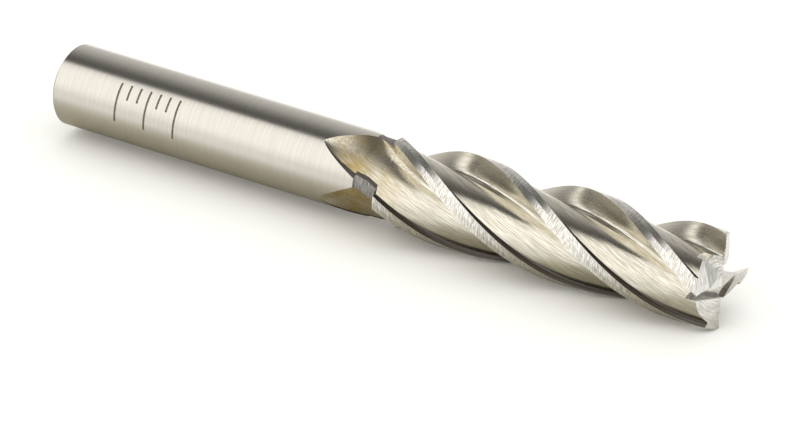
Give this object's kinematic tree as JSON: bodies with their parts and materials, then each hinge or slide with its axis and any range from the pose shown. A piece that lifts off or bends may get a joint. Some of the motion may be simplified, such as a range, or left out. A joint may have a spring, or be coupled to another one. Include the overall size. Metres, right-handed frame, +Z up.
{
  "type": "end mill",
  "caption": "Square-end milling cutter: plain round shank, ground neck, helical right-hand flutes with relieved lands and gashed end teeth that meet at the centre.",
  "frame": {"origin": "centre of the shank's flat back end", "axes": "+X along the tool's axis from the shank to the teeth, +Z up when the tool lies on a table"},
  "size_m": [0.11, 0.014, 0.014],
  "materials": {
    "shank_steel": "fine circumferential grinding, satin",
    "ground_steel": "ground high-speed steel, cross-ground lands, streaked flutes"
  },
  "bodies": {
    "root": {"shank": "shank_steel", "cutting_head": "ground_steel"}
  },
  "joints": []
}
